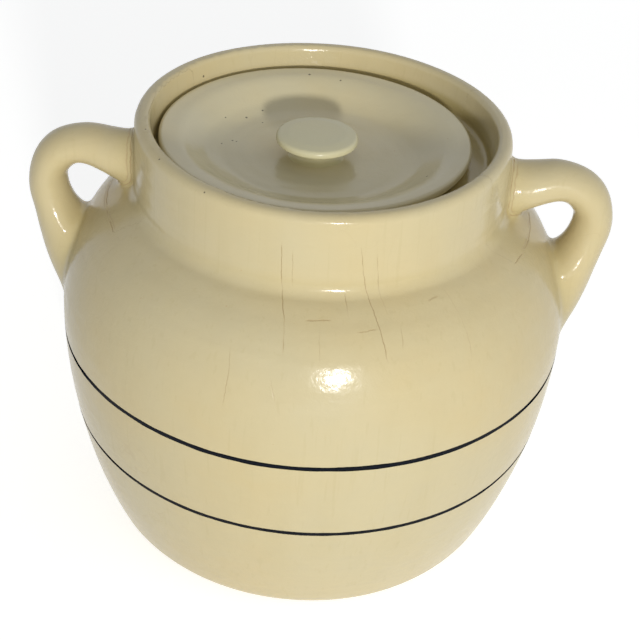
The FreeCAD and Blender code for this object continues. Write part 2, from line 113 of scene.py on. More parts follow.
def side_round(axis_height, round_radius, side_arc):
    """The rounding from a level base to the side's arc: its centre, and the angle where it meets the arc."""
    reach = side_arc - round_radius
    across = SIDE_AXIS[0] + math.sqrt(reach ** 2 - (BELLY_HEIGHT - axis_height) ** 2)
    return (across, axis_height), math.atan2(axis_height - BELLY_HEIGHT, across - SIDE_AXIS[0])


def outer_section():
    """The filled outside of the pot, from the axis at the foot round to the axis at the rim."""
    foot_axis, side_start = side_round(FOOT_ROUND, FOOT_ROUND, SIDE_ARC)
    rise = math.hypot(LIP_TOP[0] - NECK_FOOT[0], LIP_TOP[1] - NECK_FOOT[1])
    out = ((LIP_TOP[1] - NECK_FOOT[1]) / rise, (NECK_FOOT[0] - LIP_TOP[0]) / rise)
    face = out[0] * NECK_FOOT[0] + out[1] * NECK_FOOT[1]
    outwards = math.atan2(out[1], out[0])
    reach = CROWN_ARC + NECK_CORNER
    gap = face + NECK_CORNER - out[0] * CROWN_AXIS[0] - out[1] * CROWN_AXIS[1]
    crown_end = outwards + math.acos(gap / reach)
    corner_axis = on_circle(CROWN_AXIS, reach, crown_end)
    corner_end = on_circle(corner_axis, NECK_CORNER, outwards - math.pi)
    lip_height = RIM_HEIGHT - LIP_OUTSIDE
    lip_axis = ((face - LIP_OUTSIDE - out[1] * lip_height) / out[0], lip_height)
    return [
        line(FOOT_RECESS[0], FOOT_RECESS[1]),
        line(FOOT_RECESS[1], FOOT_RECESS[2]),
        line(FOOT_RECESS[2], (foot_axis[0], 0.0)),
        arc(foot_axis, FOOT_ROUND, -math.pi / 2, side_start),
        arc(SIDE_AXIS, SIDE_ARC, side_start, 0.0),
        arc(SHOULDER_AXIS, SHOULDER_ARC, 0.0, SHOULDER_TURN),
        arc(CROWN_AXIS, CROWN_ARC, SHOULDER_TURN, crown_end),
        arc(corner_axis, NECK_CORNER, crown_end - math.pi, outwards - math.pi),
        line(corner_end, on_circle(lip_axis, LIP_OUTSIDE, outwards)),
        arc(lip_axis, LIP_OUTSIDE, outwards, math.pi / 2),
        line((lip_axis[0], RIM_HEIGHT), (0.0, RIM_HEIGHT)),
        line((0.0, RIM_HEIGHT), FOOT_RECESS[0]),
    ]


def cavity_section():
    """The hollow inside: floor, wall, shoulder, neck, ledge, gallery and the inner half of the lip."""
    side_arc = SIDE_ARC - WALL
    floor_axis, side_start = side_round(FLOOR + FLOOR_ROUND, FLOOR_ROUND, side_arc)
    crown_arc = CROWN_ARC - WALL
    crown_end = math.acos((NECK_INSIDE - CROWN_AXIS[0]) / crown_arc)
    crown_top = on_circle(CROWN_AXIS, crown_arc, crown_end)
    rise = math.hypot(GALLERY_TOP - GALLERY_FOOT, RIM_HEIGHT - LEDGE_HEIGHT)
    inn = (-(RIM_HEIGHT - LEDGE_HEIGHT) / rise, (GALLERY_TOP - GALLERY_FOOT) / rise)
    face = inn[0] * GALLERY_FOOT + inn[1] * LEDGE_HEIGHT
    cove_height = LEDGE_HEIGHT + GALLERY_COVE
    cove_axis = ((face + GALLERY_COVE - inn[1] * cove_height) / inn[0], cove_height)
    lip_height = RIM_HEIGHT - LIP_ROUND
    lip_axis = ((face - LIP_ROUND - inn[1] * lip_height) / inn[0], lip_height)
    inwards = math.atan2(inn[1], inn[0])
    open_top = RIM_HEIGHT + OPEN_ABOVE
    return [
        line((0.0, FLOOR), (floor_axis[0], FLOOR)),
        arc(floor_axis, FLOOR_ROUND, -math.pi / 2, side_start),
        arc(SIDE_AXIS, side_arc, side_start, 0.0),
        arc(SHOULDER_AXIS, SHOULDER_ARC - WALL, 0.0, SHOULDER_TURN),
        arc(CROWN_AXIS, crown_arc, SHOULDER_TURN, crown_end),
        line(crown_top, (NECK_INSIDE, NECK_TOP)),
        line((NECK_INSIDE, NECK_TOP), (LEDGE_EDGE, LEDGE_UNDERSIDE)),
        line((LEDGE_EDGE, LEDGE_UNDERSIDE), (LEDGE_EDGE, LEDGE_HEIGHT)),
        line((LEDGE_EDGE, LEDGE_HEIGHT), (cove_axis[0], LEDGE_HEIGHT)),
        arc(cove_axis, GALLERY_COVE, -math.pi / 2, inwards - math.pi),
        line(on_circle(cove_axis, GALLERY_COVE, inwards - math.pi), on_circle(lip_axis, LIP_ROUND, inwards)),
        arc(lip_axis, LIP_ROUND, inwards, math.pi / 2),
        line((lip_axis[0], RIM_HEIGHT), (lip_axis[0], open_top)),
        line((lip_axis[0], open_top), (0.0, open_top)),
        line((0.0, open_top), (0.0, FLOOR)),
    ]


def trace(section, step=0.5):
    """A section as a closed row of points."""
    points = []
    for part in section:
        if part[0] == "line":
            points.append(part[1])
            continue
        _, centre, radius, start, end = part
        count = max(2, int(abs(end - start) * radius / step) + 1)
        points += [on_circle(centre, radius, a) for a in np.linspace(start, end, count)[:-1]]
    return np.array(points)


def distance_to(section, across, up):
    """Distance from points to the nearest part of a section."""
    best = np.full(across.shape, np.inf)
    for part in section:
        if part[0] == "line":
            _, start, end = part
            run = (end[0] - start[0], end[1] - start[1])
            along = (across - start[0]) * run[0] + (up - start[1]) * run[1]
            share = np.clip(along / (run[0] ** 2 + run[1] ** 2), 0, 1)
            found = np.hypot(across - start[0] - share * run[0], up - start[1] - share * run[1])
        else:
            _, centre, radius, start, end = part
            low, high = min(start, end), max(start, end)
            turned = np.arctan2(up - centre[1], across - centre[0])
            turned = low + np.mod(turned - low, 2 * math.pi)
            found = np.abs(np.hypot(across - centre[0], up - centre[1]) - radius)
            ends = (on_circle(centre, radius, start), on_circle(centre, radius, end))
            past = np.minimum(np.hypot(across - ends[0][0], up - ends[0][1]),
                              np.hypot(across - ends[1][0], up - ends[1][1]))
            found = np.where(turned <= high, found, past)
        best = np.minimum(best, found)
    return best


class SectionField:
    """Signed distance to a half section, held on a grid over radius and height. Inside is below zero."""

    step = 0.5
    low = (-2.0, -10.0)
    high = (146.0, 250.0)
    aside = 0.013       # keeps the grid's rows off the heights at which a section turns

    def __init__(self, section):
        across = np.arange(self.low[0], self.high[0], self.step)
        up = np.arange(self.low[1], self.high[1], self.step) + self.aside
        self.up_start = up[0]
        grid_across, grid_up = np.meshgrid(np.abs(across), up, indexing="ij")
        self.table = distance_to(section, grid_across, grid_up)
        points = trace(section)
        after = np.roll(points, -1, axis=0)
        for column, height in enumerate(up):
            crossing = (points[:, 1] > height) != (after[:, 1] > height)
            a, b = points[crossing], after[crossing]
            at = a[:, 0] + (height - a[:, 1]) / (b[:, 1] - a[:, 1]) * (b[:, 0] - a[:, 0])
            inside = (at[None, :] > np.abs(across)[:, None]).sum(1) % 2 == 1
            self.table[inside, column] *= -1

    def __call__(self, across, up):
        x = np.clip((across - self.low[0]) / self.step, 1.001, self.table.shape[0] - 3)
        y = np.clip((up - self.up_start) / self.step, 1.001, self.table.shape[1] - 3)
        ix, iy = x.astype(int), y.astype(int)
        wx, wy = cubic_weights(x - ix), cubic_weights(y - iy)
        found = 0.0
        for i in range(4):
            row = 0.0
            for j in range(4):
                row = row + wy[j] * self.table[ix + i - 1, iy + j - 1]
            found = found + wx[i] * row
        return found


def cubic_weights(t):
    """The weights of four neighbours on a grid, for a smooth curve through them."""
    return (((2 - t) * t - 1) * t / 2, ((3 * t - 5) * t * t + 2) / 2,
            ((4 - 3 * t) * t + 1) * t / 2, (t - 1) * t * t / 2)


# ---------------------------------------------------------------- the handles' field

# Each oval section: across, up, half thickness, half width, and by how many degrees its plane is turned down.
HANDLE = [
    (78.7, 184.2, 16.4, 12.6, 0),
    (100.2, 190.6, 10.6, 12.9, 0),
    (110.0, 192.6, 9.2, 11.5, 0),
    (122.73, 187.33, 9.2, 11.5, 45),
    (128.0, 174.6, 9.2, 11.5, 90),
    (125.2, 161.0, 10.6, 12.9, 90),
    (119.8, 150.0, 13.6, 15.9, 90),
    (116.8, 129.0, 11.8, 14.1, 90),
    (107.0, 100.0, 7.5, 9.5, 90),
]


def natural_spline(knots, values, at):
    """A natural cubic spline through rows of values, read at many places."""
    n = len(knots)
    gap = np.diff(knots)
    matrix = np.eye(n)
    right = np.zeros((n, values.shape[1]))
    slope = np.diff(values, axis=0) / gap[:, None]
    for i in range(1, n - 1):
        matrix[i, i - 1:i + 2] = (gap[i - 1], 2 * (gap[i - 1] + gap[i]), gap[i])
        right[i] = 6 * (slope[i] - slope[i - 1])
    bend = np.linalg.solve(matrix, right)
    i = np.clip(np.searchsorted(knots, at) - 1, 0, n - 2)
    t = (at - knots[i])[:, None]
    g = gap[i][:, None]
    rest = g - t
    return (bend[i] * rest ** 3 + bend[i + 1] * t ** 3) / (6 * g) \
        + (values[i] / g - bend[i] * g / 6) * rest + (values[i + 1] / g - bend[i + 1] * g / 6) * t


class HandleField:
    """Signed distance, near the surface, to a handle that stands out to +X."""

    stations = 260
    chunk = 20000       # as many points are worked out at a time

    def __init__(self, sections):
        sections = np.array(sections, float)
        tilt = np.radians(sections[:, 4])
        values = np.column_stack([sections[:, 0], sections[:, 1], sections[:, 2] * np.sin(tilt),
                                  sections[:, 2] * np.cos(tilt), sections[:, 3]])
        chord = np.hypot(np.diff(sections[:, 0]), np.diff(sections[:, 1]))
        knots = np.concatenate([[0], np.cumsum(chord)])
        self.length = knots[-1]
        self.at = np.linspace(0, self.length, self.stations)
        self.rows = natural_spline(knots, values, self.at)

    def read(self, s):
        x = np.clip(s / self.length * (self.stations - 1), 0, self.stations - 1.001)
        i = x.astype(int)
        t = (x - i)[:, None]
        return self.rows[i] * (1 - t) + self.rows[i + 1] * t

    def __call__(self, across, side, up):
        s = np.empty(len(across))
        for start in range(0, len(across), self.chunk):
            part = slice(start, start + self.chunk)
            away = (across[part, None] - self.rows[None, :, 0]) ** 2
            away += (up[part, None] - self.rows[None, :, 1]) ** 2
            s[part] = self.at[away.argmin(1)]
        for _ in range(4):
            here, there = self.read(s), self.read(s + 0.2)
            now, ahead = (self.miss(row, across, up) for row in (here, there))
            slope = (ahead - now) / 0.2
            slope = np.where(np.abs(slope) < 0.3, np.sign(slope) * 0.3 + 1e-9, slope)
            s = np.clip(s - np.clip(now / slope, -4, 4), 0, self.length)
        row = self.read(s)
        half = np.hypot(row[:, 2], row[:, 3])
        high = ((across - row[:, 0]) * row[:, 2] + (up - row[:, 1]) * row[:, 3]) / half
        past = np.abs(self.miss(row, across, up))
        size = np.sqrt((high / half) ** 2 + (side / row[:, 4]) ** 2) + 1e-6
        slope = np.sqrt((high / half ** 2) ** 2 + (side / row[:, 4] ** 2) ** 2) + 1e-6
        found = (size - 1) * size / slope
        return np.where(past > 0.05, np.maximum(found, 0) + past, found)

    @staticmethod
    def miss(row, across, up):
        """How far a point lies off a section's plane."""
        half = np.hypot(row[:, 2], row[:, 3])
        return ((across - row[:, 0]) * row[:, 3] - (up - row[:, 1]) * row[:, 2]) / half


# ---------------------------------------------------------------- the whole pot as one field

BLEND = 8.5                     # how far the clay is smoothed where a handle meets the pot
HANDLE_INNER = 62.0             # a handle changes the pot only outside this distance from the axis along X,
HANDLE_SIDE = 42.0              # inside this one along Y
HANDLE_HEIGHTS = (78.0, 215.0)  # and between these heights
HANDLE_UNEVEN = 0.16
MARK_PITCHES = (8.7, 5.3)       # heights from one finger mark of the thrower to the next, and their depths
MARK_DEPTHS = (0.055, 0.035)
WOBBLES = (0.12, 0.10)          # how far the wall is out of round, and how far it is uneven
outside = SectionField(outer_section())
cavity = SectionField(cavity_section())
handle_field = HandleField(HANDLE)


def waves(points, seed, pitch, count=7):
    """Smooth, seeded unevenness of about -1 to 1, with a rough wave length in mm."""
    rng = np.random.default_rng(seed)
    total = np.zeros(len(points))
    for _ in range(count):
        direction = rng.normal(size=3)
        direction *= 2 * math.pi / (pitch * rng.uniform(0.7, 1.4) * np.linalg.norm(direction))
        total += np.sin(points @ direction + rng.uniform(0, 2 * math.pi))
    return total / math.sqrt(count / 2)


def thrown(points):
    """How far the thrown wall lies inside the true form, from its finger marks and its slight wobble."""
    x, y, z = points.T
    turn = np.arctan2(y, x)
    coarse, fine = (z * 2 * math.pi / pitch for pitch in MARK_PITCHES)
    marks = MARK_DEPTHS[0] * (1 + np.sin(coarse + 0.35 * np.sin(2 * turn + 1) + turn))
    marks += MARK_DEPTHS[1] * (1 + np.sin(fine + turn + 2))
    marks *= 0.35 + 0.65 * np.clip((z - 150) / 30, 0, 1)        # they fade below the shoulder
    out_of_round = WOBBLES[0] * (1 + np.sin(2 * turn + 0.7)) / 2
    return marks + (out_of_round + WOBBLES[1] * (1 + np.clip(waves(points, 11, 70), -1, 1)))


def eased(value, low, high):
    share = np.clip((value - low) / (high - low), 0, 1)
    return share * share * (3 - 2 * share)


def front_share(across, y):
    """1 at the very front, next to nothing at the sides, 0 at the back."""
    return ((1 - y / np.maximum(across, 1.0)) / 2) ** 3


def near_handles(points):
    """Which points lie near enough to a handle to be changed by it."""
    across, side, up = np.abs(points[:, 0]), np.abs(points[:, 1]), points[:, 2]
    low, high = HANDLE_HEIGHTS
    return (across > HANDLE_INNER) & (side < HANDLE_SIDE) & (up > low) & (up < high)


def to_handle(points):
    """Signed distance to the handle on the points' own side of the pot."""
    return handle_field(np.abs(points[:, 0]), points[:, 1], points[:, 2])


def pot_field(points):
    """Below zero in the clay of the pot and its handles."""
    x, y, z = points.T
    across = np.hypot(x, y)
    front = front_share(across, y)
    lowered = NECK_DROP * eased(z, *NECK_COMES_IN) + (LIP_DROP - NECK_DROP) * eased(z, *LIP_COMES_IN)
    lean = LIP_LEAN * (1 + (x * LEAN_TURN[0] + y * LEAN_TURN[1]) / np.maximum(across, 1.0)) ** 2 / 4
    lean *= eased(z, *RIM_COMES_IN)
    shell = outside(across, z + front * lowered + lean) + thrown(points)
    near = near_handles(points)
    if near.any():
        at = points[near]
        handle = to_handle(at) + HANDLE_UNEVEN * (1 + np.clip(waves(at, 5, 34), -1, 1))
        mix = np.maximum(BLEND - np.abs(shell[near] - handle), 0) / BLEND
        shell[near] = np.minimum(shell[near], handle) - mix ** 3 * BLEND / 6
    return np.maximum(shell, -cavity(across, z + front * LIP_DROP * eased(z, *RIM_COMES_IN) + lean))


def unit(rows):
    return rows / np.linalg.norm(rows, axis=1, keepdims=True)


def gradient(field, points, step=0.06):
    found = np.empty_like(points)
    for axis in range(3):
        off = np.zeros(3)
        off[axis] = step
        found[:, axis] = (field(points + off) - field(points - off)) / (2 * step)
    return found


def settle(field, points, rounds=3, reach=0.9):
    """Move points along the field's slope on to its surface."""
    for _ in range(rounds):
        slope = gradient(field, points)
        steep = np.maximum((slope ** 2).sum(1), 0.2)
        move = slope * (field(points) / steep)[:, None]
        size = np.linalg.norm(move, axis=1, keepdims=True)
        points = points - move * np.minimum(1, reach / np.maximum(size, 1e-9))
    return points


def surface_of(field, low, high, step):
    """A closed mesh of quads where a field is zero: one point in each cell that it passes through."""
    aside = 0.0137      # keeps the grid off the planes in which the pot is level or straight
    axes = [np.arange(low[i], high[i] + step, step) + aside for i in range(3)]
    shape = tuple(len(a) for a in axes)
    values = np.empty(shape, np.float32)
    for i, x in enumerate(axes[0]):
        y, z = np.meshgrid(axes[1], axes[2], indexing="ij")
        at = np.column_stack([np.full(y.size, x), y.ravel(), z.ravel()])
        values[i] = field(at).reshape(y.shape)
    inside = values < 0
    cells = np.zeros((int(np.prod(shape)), 4))
    quads = []
    stride = (shape[1] * shape[2], shape[2], 1)
    for axis in range(3):
        a = inside.take(range(shape[axis] - 1), axis)
        b = inside.take(range(1, shape[axis]), axis)
        index = np.column_stack(np.nonzero(a != b))
        step_on = np.zeros(3, int)
        step_on[axis] = 1
        first = values[tuple(index.T)]
        second = values[tuple((index + step_on).T)]
        crossing = index.astype(float)
        crossing[:, axis] += first / (first - second)
        u, v = (axis + 1) % 3, (axis + 2) % 3
        flat = index @ np.array(stride)
        corners = [flat, flat - stride[u], flat - stride[u] - stride[v], flat - stride[v]]
        for corner in corners:
            for column in range(3):
                cells[:, column] += np.bincount(corner, crossing[:, column], len(cells))
            cells[:, 3] += np.bincount(corner, minlength=len(cells))
        quad = np.column_stack(corners)
        turned = inside[tuple(index.T)]
        quads.append(np.where(turned[:, None], quad, quad[:, ::-1]))
    quads = np.concatenate(quads)
    used, renumbered = np.unique(quads, return_inverse=True)
    points = cells[used, :3] / cells[used, 3:]
    points = points * step + np.array([a[0] for a in axes])
    return points, renumbered.reshape(quads.shape)


# ---------------------------------------------------------------- making meshes

def add_object(name, points, faces, material, normals=None):
    """A smooth mesh object from points in mm."""
    mesh = bpy.data.meshes.new(name)
    mesh.vertices.add(len(points))
    mesh.vertices.foreach_set("co", (np.asarray(points) * MM).astype(np.float32).ravel())
    faces = faces if isinstance(faces, list) else [faces]
    sizes = np.concatenate([np.full(len(f), f.shape[1]) for f in faces])
    corners = np.concatenate([f.ravel() for f in faces])
    mesh.loops.add(len(corners))
    mesh.loops.foreach_set("vertex_index", corners.astype(np.int32))
    mesh.polygons.add(len(sizes))
    mesh.polygons.foreach_set("loop_start", np.concatenate([[0], np.cumsum(sizes)[:-1]]).astype(np.int32))
    mesh.update(calc_edges=True)
    mesh.validate()
    mesh.shade_smooth()
    if normals is not None:
        mesh.normals_split_custom_set_from_vertices(normals.tolist())
    mesh.materials.append(material)
    thing = bpy.data.objects.new(name, mesh)
    bpy.context.scene.collection.objects.link(thing)
    return thing


def add_attribute(thing, name, values):
    layer = thing.data.attributes.new(name, "FLOAT", "POINT")
    layer.data.foreach_set("value", np.asarray(values, np.float32))


def ring_quads(rings, steps, closed=False):
    """Quads between rings of points, and from the last ring back to the first where they are closed."""
    i, j = np.meshgrid(np.arange(rings if closed else rings - 1), np.arange(steps), indexing="ij")
    after, above = (j + 1) % steps, (i + 1) % rings
    corners = [i * steps + j, i * steps + after, above * steps + after, above * steps + j]
    return np.stack(corners, -1).reshape(-1, 4)


def lathe(name, profile, axis, base, material, steps=220, uneven=None):
    """Turn a profile of (radius, height) points, from the axis round to the axis, about an upright axis."""
    profile = np.array(profile, float)
    ring = profile[1:-1]
    angles = np.linspace(0, 2 * math.pi, steps, endpoint=False)
    cos, sin = np.cos(angles), np.sin(angles)
    x = axis[0] + ring[:, :1] * cos
    y = axis[1] + ring[:, :1] * sin
    z = np.repeat(ring[:, 1:] + base, steps, axis=1)
    tips = [(*axis, base + height) for height in (profile[0, 1], profile[-1, 1])]
    points = np.vstack([np.stack([x, y, z], -1).reshape(-1, 3), tips])
    if uneven is not None:
        points = uneven(points)
    j = np.arange(steps)
    after = (j + 1) % steps
    first, last = len(points) - 2, len(points) - 1
    top = (len(ring) - 1) * steps
    caps = np.vstack([np.column_stack([after, j, np.full(steps, first)]),
                      np.column_stack([top + j, top + after, np.full(steps, last)])])
    return add_object(name, points, [ring_quads(len(ring), steps), caps], material)


def rounded(corners, step=0.35):
    """A row of (radius, height, rounding) corners as points, with each corner rounded."""
    points = [tuple(corners[0][:2])]
    for before, here, after in zip(corners, corners[1:], corners[2:]):
        p, a, b = (np.array(c[:2], float) for c in (here, before, after))
        if here[2] == 0:
            points.append(tuple(p))
            continue
        u, v = (a - p) / np.linalg.norm(a - p), (b - p) / np.linalg.norm(b - p)
        half = math.acos(np.clip(u @ v, -1, 1)) / 2
        back = here[2] / math.tan(half)
        middle = (u + v) / np.linalg.norm(u + v)
        centre = p + middle * here[2] / math.sin(half)
        start, end = p + u * back - centre, p + v * back - centre
        sweep = math.pi - 2 * half
        count = max(4, int(sweep * here[2] / step))
        for share in np.linspace(0, 1, count + 1):
            w = (math.sin((1 - share) * sweep) * start + math.sin(share * sweep) * end) / math.sin(sweep)
            points.append(tuple(centre + w))
    points.append(tuple(corners[-1][:2]))
    return points


def divided(points, step):
    """The same row of points with long runs divided."""
    found = [points[0]]
    for a, b in zip(points, points[1:]):
        count = max(1, int(math.dist(a, b) / step))
        found += [tuple(np.array(a) + (np.array(b) - np.array(a)) * k / count) for k in range(1, count + 1)]
    return found


# ---------------------------------------------------------------- materials

class Tree:
    """Short calls for making the nodes of a material or a world."""

    def __init__(self, owner):
        owner.use_nodes = True
        self.tree = owner.node_tree
        self.tree.nodes.clear()

    def add(self, kind, inputs=None, **settings):
        """A node with its settings, and a link or a value for each input that is given."""
        node = self.tree.nodes.new("ShaderNode" + kind)
        for key, value in settings.items():
            setattr(node, key, value)
        for key, value in (inputs or {}).items():
            if isinstance(value, bpy.types.NodeSocket):
                self.tree.links.new(value, node.inputs[key])
            else:
                node.inputs[key].default_value = value
        return node

    def math(self, operation, a, b=0.0, c=0.0, clamp=False):
        return self.add("Math", {0: a, 1: b, 2: c}, operation=operation, use_clamp=clamp).outputs[0]

    def plus(self, a, b):
        return self.math("ADD", a, b)

    def minus(self, a, b):
        return self.math("SUBTRACT", a, b)

    def times(self, a, b):
        return self.math("MULTIPLY", a, b)

    def larger(self, a, b):
        return self.math("MAXIMUM", a, b)

    def sees_background(self):
        """1 for the rays that see the plain white background: the camera's, and those in gloss and glass."""
        path = self.add("LightPath").outputs
        seen = self.larger(path["Is Camera Ray"], path["Is Glossy Ray"])
        return self.larger(seen, path["Is Transmission Ray"])


class Look(Tree):
    """A material's nodes round one shader. Places are in metres, in the CAD's frame."""

    def __init__(self, name):
        self.material = bpy.data.materials.new(name)
        super().__init__(self.material)
        self.shader = self.add("BsdfPrincipled")
        self.add("OutputMaterial", {"Surface": self.shader.outputs["BSDF"]})
        self.place = self.add("TexCoord").outputs["Object"]

    def link(self, socket, name):
        self.tree.links.new(socket, self.shader.inputs[name])

    def set(self, name, value):
        self.shader.inputs[name].default_value = value

    def scaled(self, x, y, z):
        return self.add("VectorMath", {0: self.place, 1: (x, y, z)}, operation="MULTIPLY").outputs[0]

    def noise(self, scale, detail=3.0, rough=0.5, vector=None):
        node = self.add("TexNoise", {"Vector": vector or self.place, "Scale": scale, "Detail": detail,
                                     "Roughness": rough})
        return node.outputs["Fac"]

    def ramp(self, value, low, high, to_low=0.0, to_high=1.0, kind="SMOOTHSTEP"):
        node = self.add("MapRange", {"Value": value, "From Min": low, "From Max": high,
                                     "To Min": to_low, "To Max": to_high}, interpolation_type=kind)
        return node.outputs[0]

    def near_zero(self, value, core, edge):
        """1 where the value is within core of zero, falling to 0 at edge."""
        return self.ramp(self.math("ABSOLUTE", value), core, edge, 1.0, 0.0)

    def between(self, value, low, high, rise, fall):
        """1 between low and high, with a soft rise and fall inside them."""
        return self.times(self.ramp(value, low, low + rise), self.ramp(value, high - fall, high, 1.0, 0.0))

    def mix(self, share, a, b):
        return self.add("Mix", {0: share, 6: a, 7: b}, data_type="RGBA").outputs[2]

    def xyz(self):
        return self.add("SeparateXYZ", {0: self.place}).outputs

    def attribute(self, name):
        return self.add("Attribute", attribute_name=name).outputs["Fac"]

    def gloss(self, ior, level, turned, levels):
        """Specular level that falls as the face turns away. The plain level stays for the export."""
        self.set("IOR", ior)
        self.set("Specular IOR Level", level)
        facing = self.add("LayerWeight", {"Blend": 0.5}).outputs["Facing"]
        self.link(self.ramp(facing, *turned, *levels), "Specular IOR Level")


def rgb(red, green, blue):
    return (red, green, blue, 1.0)


CREAM = rgb(0.636, 0.548, 0.322)
CREAM_WARM = rgb(0.642, 0.535, 0.296)
CREAM_COOL = rgb(0.620, 0.542, 0.334)
# colour of thicker glaze, also used as painted shade in the gallery and round the handles' roots
POOLED_AND_SHADE = rgb(0.490, 0.405, 0.185)
BODY_CLAY = rgb(0.560, 0.400, 0.220)
PALE_GRIT = rgb(0.66, 0.52, 0.33)
CRACK = rgb(0.420, 0.300, 0.150)
SPECK = rgb(0.060, 0.045, 0.030)
SLIP_BLACK = rgb(0.0020, 0.0028, 0.0050)
SLIP_BLUE = rgb(0.0040, 0.0080, 0.0190)
SLIP_WORN = rgb(0.22, 0.20, 0.16)
WHITE = rgb(1.0, 1.0, 1.0)

# Hairline cracks on the front: strength, then a row of (turn about the axis, height in metres) from the top.
HAIRLINES = [
    (0.95, [(-1.712, 0.200), (-1.699, 0.1792), (-1.676, 0.1732), (-1.657, 0.1692), (-1.643, 0.158)]),
    (0.74, [(-1.658, 0.197), (-1.646, 0.178)]),
    (0.95, [(-1.330, 0.200), (-1.310, 0.1878), (-1.291, 0.1788), (-1.261, 0.1683), (-1.243, 0.1563)]),
    (0.88, [(-1.247, 0.196), (-1.222, 0.1761), (-1.2112, 0.1708)]),
    (0.84, [(-1.168, 0.1692), (-1.179, 0.160)]),
    (0.84, [(-1.397, 0.179), (-1.385, 0.171)]),
    (0.74, [(-1.510, 0.1695), (-1.504, 0.157)]),
    (0.74, [(-1.681, 0.152), (-1.668, 0.1459), (-1.652, 0.140)]),
    (0.55, [(-1.85, 0.160), (-1.838, 0.146), (-1.842, 0.134)]),
    (0.49, [(-0.90, 0.176), (-0.885, 0.160), (-0.892, 0.150)]),
    (0.64, [(1.40, 0.198), (1.42, 0.176), (1.445, 0.160)]),
    (0.59, [(1.86, 0.190), (1.84, 0.170), (1.87, 0.146)]),
]
# Short level cracks between them: strength, start and end turn, height, rise in metres per radian.
CROSS_LINES = [
    (0.64, -1.575, -1.455, 0.1706, 0.004),
    (0.59, -1.360, -1.265, 0.1678, 0.006),
    (0.49, -1.012, -0.940, 0.1734, 0.008),
]
# Lines round a handle's root where it was luted on: place in mm, strength, and how much is broken off.
SEAM_LINES = [(0.0, 0.85, 0.36), (-2.4, 0.55, 0.46), (2.2, 0.50, 0.47)]

# Iron specks that stand out: place in mm and radius.
POT_SPOTS = [
    ((-61.2, 47.9, 208.4), 0.75), ((-67.7, -49.2, 213.6), 0.6), ((-45.6, -71.4, 211.9), 0.55),
    ((-77.5, -25.2, 214.9), 0.55),
]
LID_SPOTS = [
    ((-10.7, 65.2, 205.9), 0.8), ((4.9, 62.5, 205.2), 0.6), ((-31.3, 39.1, 197.0), 0.6),
    ((-38.3, 31.1, 196.6), 0.75), ((-47.8, 25.7, 198.4), 0.55), ((-30.3, 28.6, 195.8), 0.5),
    ((-42.4, 7.4, 196.0), 0.6), ((-40.5, 6.9, 195.9), 0.5), ((-47.0, 3.2, 196.2), 0.55),
]


def crazing(n, strength):
    """Fine cracks in the glaze, only here and there."""
    wander = n.add("TexNoise", {"Vector": n.place, "Scale": 34.0, "Detail": 3.0}).outputs["Color"]
    bent = n.add("VectorMath", {0: n.scaled(52, 52, 21), 1: wander}, operation="ADD").outputs[0]
    cells = n.add("TexVoronoi", {"Vector": bent, "Scale": 1.0}, feature="DISTANCE_TO_EDGE")
    lines = n.ramp(cells.outputs["Distance"], 0.0, 0.011, 1.0, 0.0)
    where = n.ramp(n.noise(17.0, 2.0, 0.5), 0.54, 0.70)
    return n.times(n.times(lines, where), strength)


def hairline_turn(n, z, row):
    """The turn about the pot's axis at which a hairline runs, for each height."""
    low, high = row[-1][1], row[0][1]
    turns = [turn for turn, _ in row]
    first, wide = min(turns), max(max(turns) - min(turns), 0.001)
    curve = n.add("FloatCurve", {"Value": n.ramp(z, low, high, kind="LINEAR")})
    points = curve.mapping.curves[0].points
    while len(points) < len(row):
        points.new(0.5, 0.5)
    for point, (turn, up) in zip(points, sorted(row, key=lambda pair: pair[1])):
        point.location = ((up - low) / (high - low), (turn - first) / wide)
        point.handle_type = "AUTO_CLAMPED"
    curve.mapping.update()
    return n.math("MULTIPLY_ADD", curve.outputs[0], wide, first)


def hairline_cracks(n, crack, hairlines):
    x, y, z = n.xyz()
    angle = n.math("ARCTAN2", y, x)
    sway = n.times(n.minus(n.noise(260.0, 3.0, 0.6), 0.5), 0.011)
    faded = n.ramp(n.noise(75.0, 2.0), 0.36, 0.60, 0.35, 1.0)
    for strength, row in hairlines:
        off = n.minus(angle, n.plus(hairline_turn(n, z, row), sway))
        ends = n.between(z, row[-1][1], row[0][1], 0.005, 0.004)
        part = n.times(n.near_zero(off, 0.0006, 0.0026), ends)
        crack = n.larger(crack, n.times(part, n.times(faded, strength)))
    for strength, start, end, up, rise in CROSS_LINES:
        level = n.math("MULTIPLY_ADD", angle, rise, up - rise * (start + end) / 2)
        off = n.minus(z, n.plus(level, n.times(sway, 0.09)))
        part = n.times(n.near_zero(off, 0.00006, 0.00026), n.between(angle, start, end, 0.02, 0.02))
        crack = n.larger(crack, n.times(part, strength))
    return crack


def seam_lines(n, crack):
    """Broken lines along the seam where a handle meets the pot."""
    gap = n.attribute("seam")
    bend = n.minus(n.noise(150.0, 3.0, 0.6), 0.5)
    for place, strength, broken in SEAM_LINES:
        off = n.plus(n.math("MULTIPLY_ADD", bend, 4.5, gap), place)
        kept = n.ramp(n.noise(58.0 + 9.0 * place, 2.0), broken, broken + 0.12)
        crack = n.larger(crack, n.times(n.times(n.near_zero(off, 0.15, 0.75), kept), strength))
    return crack


